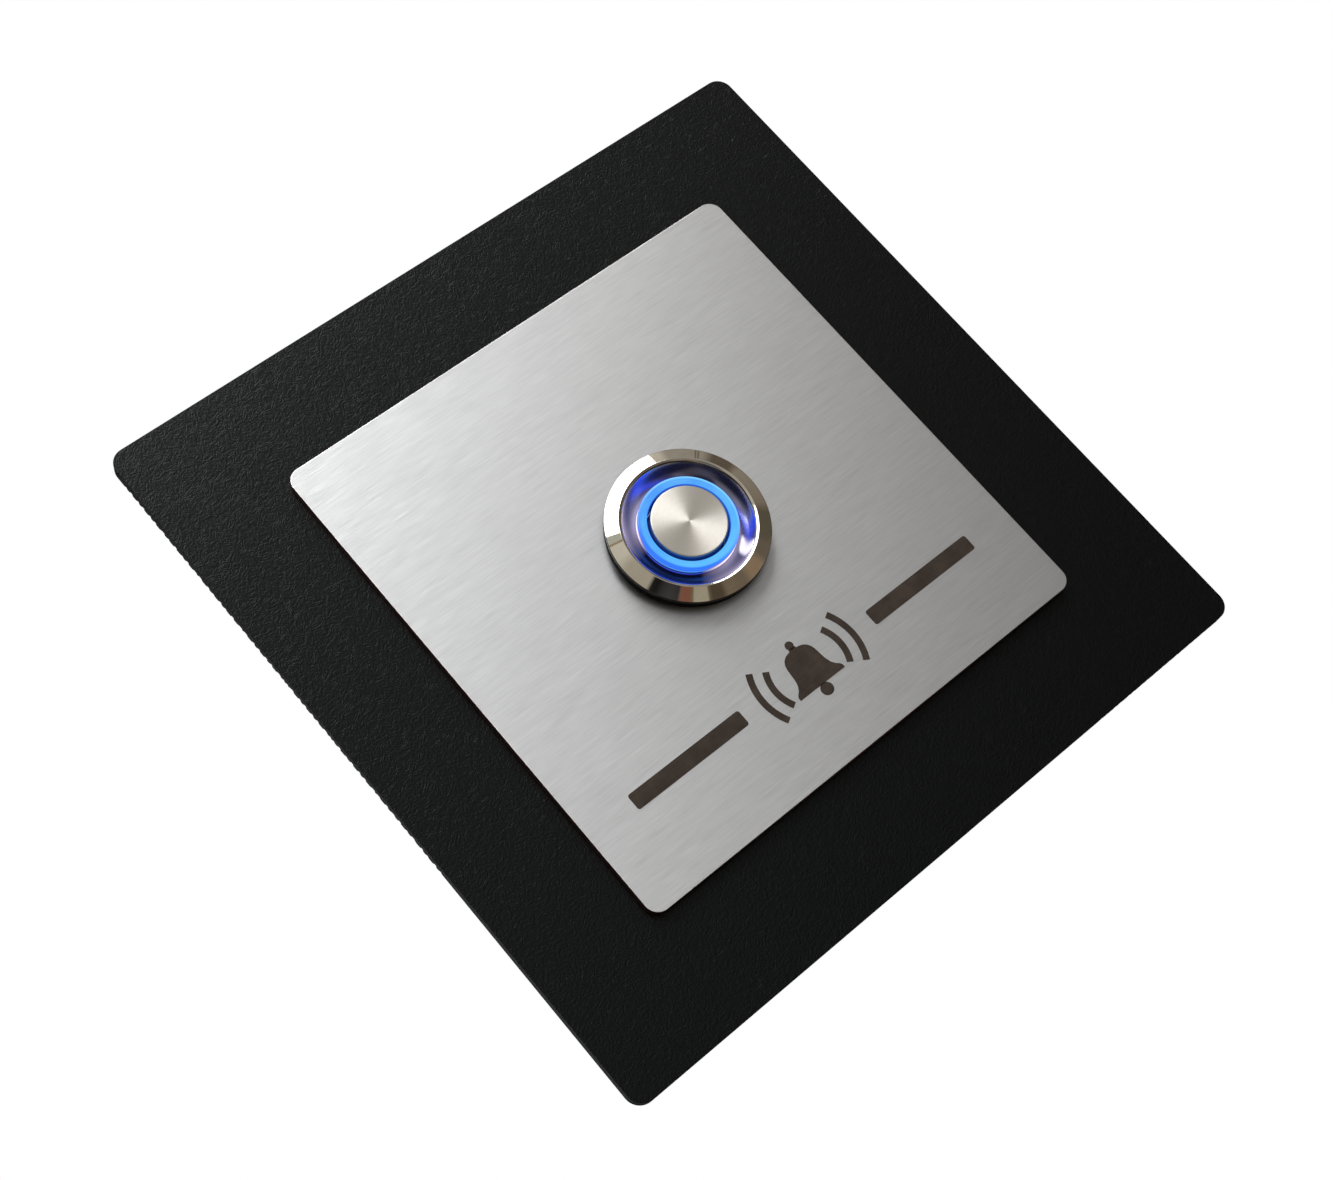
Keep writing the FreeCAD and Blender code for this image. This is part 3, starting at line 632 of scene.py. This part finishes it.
def switch_body():
    """Head, bowl and bore, turned from the barrel's end to the neck, with the thread let in between."""
    outline = [
        (THREAD_RADIUS - BARREL_CHAMFER, BARREL_END), (BORE_RADIUS, BARREL_END), (BORE_RADIUS, WEB_BACK),
        (THROAT[0], WEB_BACK), THROAT]
    outline += arc_between(THROAT, BOWL_MIDDLE, LIP, 18)
    outline += [
        LIP, (RIM_RADIUS, HEAD_RIM), (HEAD_RADIUS, HEAD_EDGE), (HEAD_RADIUS, HEAD_SEAT),
        (THREAD_RADIUS, HEAD_SEAT), (THREAD_RADIUS, WEB_BACK)]
    breaks = (
        (RIM_RADIUS, HEAD_RIM, 0.05, 3),
        (HEAD_RADIUS, HEAD_EDGE, 0.06, 3),
        (HEAD_RADIUS, HEAD_SEAT, 0.05, 2),
        (*LIP, LIP_ROUNDING, 6))
    head = turned("switch_head", outline, breaks, sides=256)
    thread = threads()
    start_clean()
    thread.select_set(True)
    head.select_set(True)
    bpy.context.view_layer.objects.active = head
    bpy.ops.object.join()
    bpy.ops.object.mode_set(mode="EDIT")
    for low, high in ((WEB_BACK, THREAD_START), (THREAD_END, BARREL_END)):
        pick("edges", lambda edge: edge.is_boundary and all(
            (low - 0.01) * MM < v.co.y < (high + 0.01) * MM for v in edge.verts))
        bpy.ops.mesh.bridge_edge_loops()
    return close_up(head)


body = switch_body()
finish_piece(body, FINISHES["polished_metal"], FIXED, "polished_metal", "switch_body")


# The ring of light, the cap and the rubber seal

def light_ring():
    outline = [
        (LIGHT_INNER, LIGHT_TOP), (LIGHT_OUTER, LIGHT_TOP), (LIGHT_OUTER, WEB_BACK), (LIGHT_FLANGE, WEB_BACK),
        (LIGHT_FLANGE, SKIRT_BACK), (SKIRT_INNER, SKIRT_BACK), (SKIRT_INNER, LIGHT_BACK),
        (LIGHT_INNER, LIGHT_BACK), (LIGHT_INNER, LIGHT_TOP)]
    breaks = ((LIGHT_OUTER, LIGHT_TOP, 0.14, 5), (LIGHT_INNER, LIGHT_TOP, 0.05, 3))
    return turned("light_ring_lit", outline, breaks)


def button_cap():
    outline = [
        (0.02, CAP_TOP), (1.5, CAP_TOP), (CAP_RADIUS, CAP_TOP), (CAP_RADIUS, CAP_BACK), (CAP_INNER, CAP_BACK),
        (CAP_INNER, CAP_ROOF), (BOSS_RADIUS, CAP_ROOF), (BOSS_RADIUS, BOSS_BACK), (BOSS_BORE, BOSS_BACK),
        (BOSS_BORE, BOSS_BORE_END), (0.02, BOSS_BORE_END)]
    return turned("button_cap_spun", outline, ((CAP_RADIUS, CAP_TOP, 0.14, 5),))


def head_gasket():
    outline = [
        (PLATE_HOLE, HEAD_SEAT), (GASKET_RADIUS, HEAD_SEAT), (GASKET_RADIUS, FACE_FRONT),
        (PLATE_HOLE, FACE_FRONT), (PLATE_HOLE, HEAD_SEAT)]
    breaks = ((GASKET_RADIUS, HEAD_SEAT, 0.12, 3), (GASKET_RADIUS, FACE_FRONT, 0.2, 4))
    return turned("head_gasket_rubber", outline, breaks)


finish_piece(light_ring(), FINISHES["lit_plastic"], FIXED, "lit_plastic", "light_ring")
finish_piece(button_cap(), FINISHES["spun_metal"], MOVING, "spun_metal", "button_cap")
finish_piece(head_gasket(), FINISHES["black_rubber"], FIXED, "black_rubber", "head_gasket")


# The return spring: a copy of the coil, with a mesh of its own

def return_spring():
    """The coil's own shape, as a piece of its own."""
    start_clean()
    coil = bpy.data.objects.new("return_spring_coil", frame["nodes"]["return_spring"].data.copy())
    bpy.context.collection.objects.link(coil)
    coil.select_set(True)
    bpy.context.view_layer.objects.active = coil
    bpy.ops.object.mode_set(mode="EDIT")
    return close_up(coil, 60)


spring = return_spring()
finish_piece(spring, FINISHES["spring_steel"], FIXED, "spring_steel", "return_spring")
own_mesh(spring)


# The two plates, the black one with the cutter's nicks along two of its back edges

def plate(name, half, front, back, corner):
    """A square sheet with rounded corners, a round hole and softened front edges."""
    start_clean()
    middle = (front + back) / 2
    side = 2 * half * MM
    bpy.ops.mesh.primitive_cube_add(
        size=1, location=(0, middle * MM, 0), scale=(side, (back - front) * MM, side))
    sheet = begin(name)
    pick("edges", lambda edge: abs((edge.verts[0].co - edge.verts[1].co).y) > 0.5 * MM)
    bpy.ops.mesh.bevel(offset=corner * MM, segments=10, affect="EDGES")
    pick("edges", lambda edge: all(v.co.y < (front + 0.01) * MM for v in edge.verts))
    bpy.ops.mesh.bevel(offset=PLATE_ROUNDING * MM, segments=2, affect="EDGES")
    bpy.ops.object.mode_set(mode="OBJECT")
    start_clean()
    bpy.ops.mesh.primitive_cylinder_add(
        vertices=128, radius=PLATE_HOLE * MM, depth=6 * MM, location=(0, middle * MM, 0),
        rotation=(math.pi / 2, 0, 0))
    punch = bpy.context.object
    start_clean()
    bpy.context.view_layer.objects.active = sheet
    sheet.select_set(True)
    hole = sheet.modifiers.new("hole", "BOOLEAN")
    hole.object = punch
    hole.solver = "EXACT"
    bpy.ops.object.modifier_apply(modifier=hole.name)
    bpy.data.objects.remove(punch)
    bpy.ops.object.mode_set(mode="EDIT")
    return sheet


def nick(along, across, half, back, low, high):
    """Presses small uneven nicks into a straight back edge, from low to high along it.

    Along and across are the numbers of the axes that run along the edge and out of its side.
    """
    def cut(normal_axis, place):
        """Cuts the plate's side face square at one place."""
        pick("faces", lambda face: all(v.co[across] < (0.001 - half) * MM for v in face.verts))
        point, normal = Vector((0, 0, 0)), Vector((0, 0, 0))
        point[normal_axis] = place * MM
        normal[normal_axis] = 1
        bpy.ops.mesh.bisect(plane_co=point, plane_no=normal)

    def in_band(v):
        return (v.co[across] < (0.001 - half) * MM and v.co.y > (back - NICK_HEIGHT - 0.01) * MM
                and (low - 0.01) * MM < v.co[along] < (high + 0.01) * MM)

    def unevenness(v):
        return math.sin(v.co[along] * 5700) + 0.7 * math.sin(v.co[along] * 8900 + 1)

    for axis, place in ((1, back - NICK_HEIGHT), (along, low), (along, high)):
        cut(axis, place)
    pick("edges", lambda edge: all(in_band(v) for v in edge.verts)
         and abs(edge.verts[0].co.y - edge.verts[1].co.y) < 1e-6)
    bpy.ops.mesh.subdivide(number_cuts=90)
    for limit, depth in ((0.35, 0.07), (0.9, 0.05), (1.3, 0.04)):
        pick("verts", lambda v: v.co.y > (back - 0.01) * MM and v.co[across] < (0.2 - half) * MM
             and (low + 0.1) * MM < v.co[along] < (high - 0.1) * MM and unevenness(v) > limit)
        shift = [0, 0, 0]
        shift[across] = depth * MM
        bpy.ops.transform.translate(value=shift)


base = plate("base_plate_grained", BASE_HALF, BASE_FRONT, BASE_BACK, BASE_CORNER)
for along, across, low, high in ((2, 0, -14, 13), (2, 0, 13, 40), (0, 2, 22, 40)):
    nick(along, across, BASE_HALF, BASE_BACK, low, high)
close_up(base)
finish_piece(base, FINISHES["grained_black_plastic"], FIXED, "grained_black_plastic", "base_plate")
face = plate("face_plate_brushed", FACE_HALF, FACE_FRONT, FACE_BACK, FACE_CORNER)
close_up(face)
finish_piece(face, FINISHES["brushed_steel_sheet"], FIXED, "brushed_steel_sheet", "face_plate")


# The mark below the button: a ringing bell between two plain bars

def flat_shape(name, width, height, x, z):
    """A flat rectangle on the steel's front, open for editing."""
    start_clean()
    place = (x * MM, MARK_FRONT * MM, z * MM)
    bpy.ops.mesh.primitive_plane_add(size=MM, location=place, rotation=(math.pi / 2, 0, 0))
    piece = begin(name)
    select_all()
    bpy.ops.transform.resize(value=(width, 1, height), center_override=place)
    return piece


def thicken(piece):
    """Gives a flat shape the mark's small thickness."""
    select_all()
    bpy.ops.mesh.extrude_region_move(
        TRANSFORM_OT_translate={"value": (0, (MARK_BACK - MARK_FRONT) * MM, 0)})
    return close_up(piece)


def bar(name, width, height, x, z, corner):
    """A flat bar with rounded corners."""
    piece = flat_shape(name, width, height, x, z)
    bpy.ops.mesh.bevel(offset=corner * MM, segments=6, affect="VERTICES")
    return thicken(piece)


def bell_shape(x, z):
    """A bell drawn from its crown down: a short row, extruded and widened along its outline."""
    piece = flat_shape("bell_mark", 0.9, 0.2, x, z + 2.55)
    half = 0.45
    pick("verts", lambda v: v.co.z < (z + 2.5) * MM)
    widths = (
        (0.10, 0.95), (0.15, 1.3), (0.25, 1.62), (0.35, 1.85), (0.45, 1.98), (0.7, 2.06),
        (0.8, 2.14), (0.6, 2.32), (0.45, 2.6), (0.35, 3.0), (0.25, 3.15), (0.35, 3.15))
    for drop, next_half in widths:
        bpy.ops.mesh.extrude_region_move(TRANSFORM_OT_translate={"value": (0, 0, -drop * MM)})
        bpy.ops.transform.resize(
            value=(next_half / half, 1, 1), center_override=(x * MM, MARK_FRONT * MM, z * MM))
        half = next_half
    return thicken(piece)


def disc_mark(x, z, radius):
    """A small flat dot, for the bell's crown and clapper."""
    start_clean()
    bpy.ops.mesh.primitive_circle_add(
        vertices=32, radius=radius * MM, fill_type="NGON",
        location=(x * MM, MARK_FRONT * MM, z * MM), rotation=(math.pi / 2, 0, 0))
    piece = begin("dot")
    return thicken(piece)


def sound_arc(x, z, radius, side):
    """A thick arc beside the bell: a short edge, spun about the bell's middle into a strip."""
    start = math.radians(30)
    piece = flat_shape("sound_arc", 0.75, 0.02, x + side * radius, z)
    centre = (x * MM, MARK_FRONT * MM, z * MM)
    pick("verts", lambda v: v.co.z < z * MM)
    bpy.ops.mesh.delete(type="VERT")
    select_all()
    bpy.ops.transform.rotate(value=-start, orient_axis="Y", center_override=centre)
    bpy.ops.mesh.spin(steps=18, angle=2 * start, center=centre, axis=(0, 1, 0))
    return thicken(piece)


def bell_mark():
    """The bell with its crown and clapper, a bar and two arcs on each side, all as one piece."""
    parts = [
        bell_shape(0, MARK_MIDDLE),
        disc_mark(0, MARK_MIDDLE + 3.0, 0.5),
        disc_mark(0, MARK_MIDDLE - 3.0, 0.75),
        bar("bar_left", 15.0, 1.9, -16.6, MARK_MIDDLE, 0.3),
        bar("bar_right", 15.0, 1.9, 16.6, MARK_MIDDLE, 0.3)]
    for side in (-1, 1):
        for radius in (4.6, 6.4):
            parts.append(sound_arc(0, MARK_MIDDLE, radius, side))
    start_clean()
    for part in parts:
        part.select_set(True)
    bpy.context.view_layer.objects.active = parts[0]
    bpy.ops.object.join()
    return parts[0]


finish_piece(bell_mark(), mark_brown(), FIXED, "brushed_steel_sheet")


# Stage: pale floor, soft lamps and the camera

def heading(azimuth, elevation):
    """The direction with this azimuth, from straight out of the wall towards +X, and elevation."""
    a, e = math.radians(azimuth), math.radians(elevation)
    return Vector((math.sin(a) * math.cos(e), -math.cos(a) * math.cos(e), math.sin(e)))


def soft_lamp(name, towards, distance, size, radiance, along=(1, 0, 0), glossy=True):
    """A rectangular lamp that faces the object. Radiance is how bright its face looks."""
    out = Vector(towards).normalized()
    side = (Vector(along) - out * out.dot(Vector(along))).normalized()
    start_clean()
    bpy.ops.object.light_add(
        type="AREA", location=out * distance,
        rotation=Matrix((side, out.cross(side), out)).transposed().to_euler())
    lamp = bpy.context.object
    lamp.name = name
    lamp.data.shape = "RECTANGLE"
    lamp.data.size, lamp.data.size_y = size
    lamp.data.energy = radiance * math.pi * size[0] * size[1]
    lamp.visible_camera = False
    lamp.visible_glossy = glossy
    return lamp


WINDOW_ALONG = (0.848, 0.480, 0.2255)
soft_lamp("window", (0.0847, -0.5429, 0.836), 0.6, (0.69, 0.342), 5.6, WINDOW_ALONG)
soft_lamp("side_fill", (-1.0, -0.15, 0.1), 0.55, (0.4, 0.4), 1.0, (0, 1, 0), glossy=False)
soft_lamp("back_fill", (0.5, 0.72, 0.48), 0.75, (0.6, 0.5), 4.0)
soft_lamp("rear_soft", (-0.1, 1.0, 0.12), 0.8, (0.4, 0.4), 2.0)

BAR_GREY = plain_finish("bar_grey", (92, 86, 74), (110, 104, 90), 0.8, 0.7, 300)


def glazing_bar(along, width):
    """A thin dark bar before the window, seen only in the polished bevel."""
    window = bpy.data.objects["window"]
    start_clean()
    place = window.location * 0.98 + Vector(WINDOW_ALONG) * along
    bpy.ops.mesh.primitive_plane_add(size=1, location=place, rotation=window.rotation_euler)
    bar_plane = bpy.context.object
    bar_plane.name = "glazing_bar"
    bar_plane.scale = (width, 0.36, 1)
    bpy.ops.object.transform_apply(location=False, rotation=False, scale=True)
    bar_plane.data.materials.append(BAR_GREY)
    for ray in ("camera", "diffuse", "transmission", "volume_scatter", "shadow"):
        setattr(bar_plane, "visible_" + ray, False)


glazing_bar(0.227, 0.008)
glazing_bar(0.311, 0.002)

start_clean()
bpy.ops.mesh.primitive_plane_add(size=6, location=(0, 0, -0.13))
floor = bpy.context.object
floor.name = "floor"
floor.visible_glossy = False


def pale_floor():
    """A pale floor that shows white to the camera and keeps the object's shadow."""
    f = new_finish("pale_floor")
    speck = f.noise(40, 2.0)
    x, y, _ = f.components(f.place())
    far = f.spread((x * x + y * y) ** 0.5, 0.2, 0.6)
    shown = f.blend(far, (0.88, 0.88, 0.88, 1), (1, 1, 1, 1))
    f.surface(
        Base_Color=f.blend(f.spread(speck, 0.3, 0.7), rgb(150, 142, 132), rgb(156, 148, 138)),
        Roughness=f.spread(speck, 0.0, 1.0, 0.85, 0.95), Specular_IOR_Level=0.1,
        Emission_Color=f.blend(f.camera_ray(), (0, 0, 0, 1), shown), Emission_Strength=1.0)
    return f.owner


floor.data.materials.append(pale_floor())


# What the metal mirrors: azimuth, elevation, size (across, up and down), colour and softness
ROOM_FRONT = (
    (8, 21, (0.42, 0.48), (0.67, 0.68, 0.68), 0.75),
    (38, -6, (0.36, 0.36), (0.08, 0.08, 0.078), 0.7),
    (-31, 10, (0.3, 0.4), (0.48, 0.44, 0.36), 0.3),
    (-30, 27, (0.2, 0.16), (0.72, 0.69, 0.58), 0.45),
    (-28.8, 32.3, (0.3, 0.012), (0.36, 0.25, 0.15), 0.3),
    (-27, 36.5, (0.3, 0.05), (0.55, 0.56, 0.48), 0.2),
    (-23, -13.5, (0.19, 0.18), (0.015, 0.015, 0.014), 0.12),
    (-15, -25.5, (0.065, 0.065), (0.26, 0.11, 0.07), 0.25),
    (-5.6, -32, (0.09, 0.09), (0.45, 0.41, 0.31), 0.12),
    (7, -36.5, (0.09, 0.09), (0.1, 0.075, 0.05), 0.35),
    (45, -31, (0.13, 0.13), (0.32, 0.23, 0.15), 0.4),
    (68, -9, (0.22, 0.16), (0.125, 0.11, 0.078), 0.3),
    (82, 27, (0.3, 0.09), (0.14, 0.115, 0.085), 0.35),
    (79.9, 36.7, (0.3, 0.004), (0.16, 0.13, 0.1), 0.4),
    (79.5, 37.8, (0.3, 0.004), (0.16, 0.13, 0.1), 0.4),
    (66, 53.5, (0.2, 0.03), (0.66, 0.62, 0.52), 0.6))
ROOM_CORNER = (-42, -24, (0.26, 0.2), (0.22, 0.21, 0.21), 0.6)


def room_light():
    """White to the camera, and round the object a dim warm room with soft lighter and darker parts."""
    world = bpy.data.worlds.new("room")
    bpy.context.scene.world = world
    f = Finish(world, "Background")
    direction = f.node("ShaderNodeTexCoord", output="Generated")
    x, y, z = f.components(direction)

    def spot(colour, azimuth, elevation, size, tone, soft):
        """Blends a soft round or oval spot over the room."""
        away = f.vector("SUBTRACT", direction, heading(azimuth, elevation))
        across, height = size
        reach = f.length(f.vector("MULTIPLY", away, (1 / across, 1 / across, 1 / height)))
        return f.blend(f.spread(reach, 1 - soft, 1 + soft, 1.0, 0.0), colour, tone + (1.0,))

    dark = (0.03, 0.028, 0.03, 1)
    room = f.blend(f.spread(z, -0.2, 0.9), (0.21, 0.165, 0.115, 1), (0.42, 0.39, 0.34, 1))
    room = f.blend(f.spread(y, 0.2, 0.6), room, (0.34, 0.35, 0.36, 1))
    for part in ROOM_FRONT:
        room = spot(room, *part)
    room = f.blend(f.spread(x, -0.75, -0.58, 1.0, 0.0), room, dark)
    room = f.blend(f.spread(z, -0.75, -0.62, 1.0, 0.0), room, dark)
    room = spot(room, *ROOM_CORNER)
    f.surface(Color=f.blend(f.camera_ray(), room, (1, 1, 1, 1)))


room_light()

bpy.ops.object.camera_add(
    location=(-0.08765, -0.20354, -0.05316),
    rotation=tuple(math.radians(angle) for angle in (106.9098, 40.1949, -11.0703)))
camera = bpy.context.object
camera.data.lens = 57.18
camera.data.sensor_width = 36
camera.data.clip_start = 0.01
bpy.context.scene.camera = camera
bpy.context.scene.view_settings.view_transform = "Standard"
